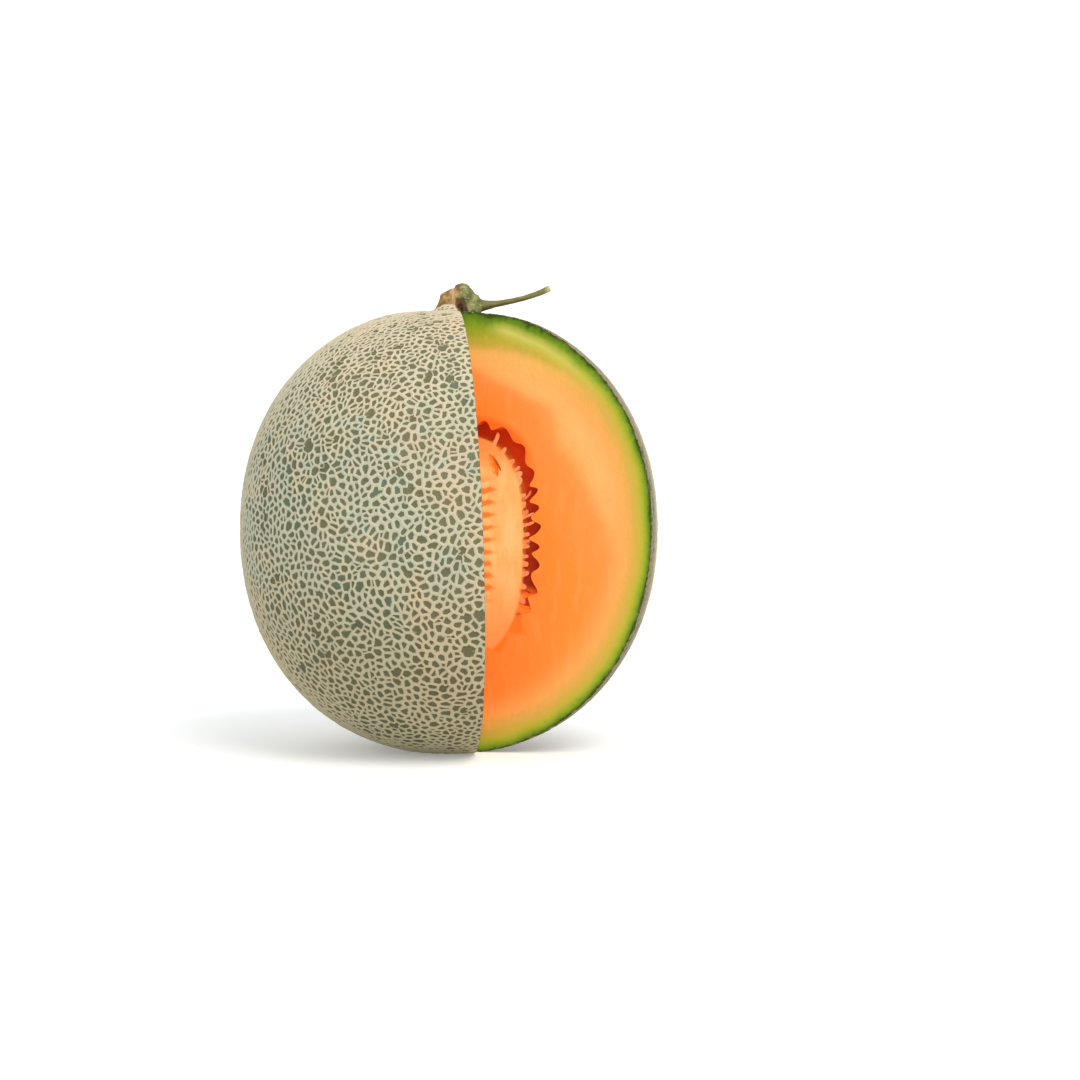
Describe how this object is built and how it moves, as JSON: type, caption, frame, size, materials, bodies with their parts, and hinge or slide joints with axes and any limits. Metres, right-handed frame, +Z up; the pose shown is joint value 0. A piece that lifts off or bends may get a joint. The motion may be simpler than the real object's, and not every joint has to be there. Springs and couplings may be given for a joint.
{
  "type": "netted cantaloupe melon with a wedge cut out",
  "caption": "Round netted melon standing on its blossom end, with one wedge cut out to show green rind, orange flesh and the pulp and seeds, and a dry stem on top.",
  "frame": {"origin": "on the axis of the fruit, on the small flat at the blossom end that it rests on", "axes": "+Z up along the fruit from the blossom end to the stem; the wedge opens towards -Y, half way between its two cut faces; +X to the right of someone who looks into the wedge"},
  "size_m": [0.1498, 0.1386, 0.1681],
  "materials": {
    "rind": "dry cork net over a waxy grey-green skin, green layer under it where it is cut",
    "flesh": "moist, soft sheen",
    "pulp": "wet fibrous pulp",
    "stem": "dry, matt and corky"
  },
  "bodies": {
    "root": {"rind": "rind", "flesh": "flesh", "seed_mass": "pulp", "stem": "stem"}
  },
  "joints": []
}
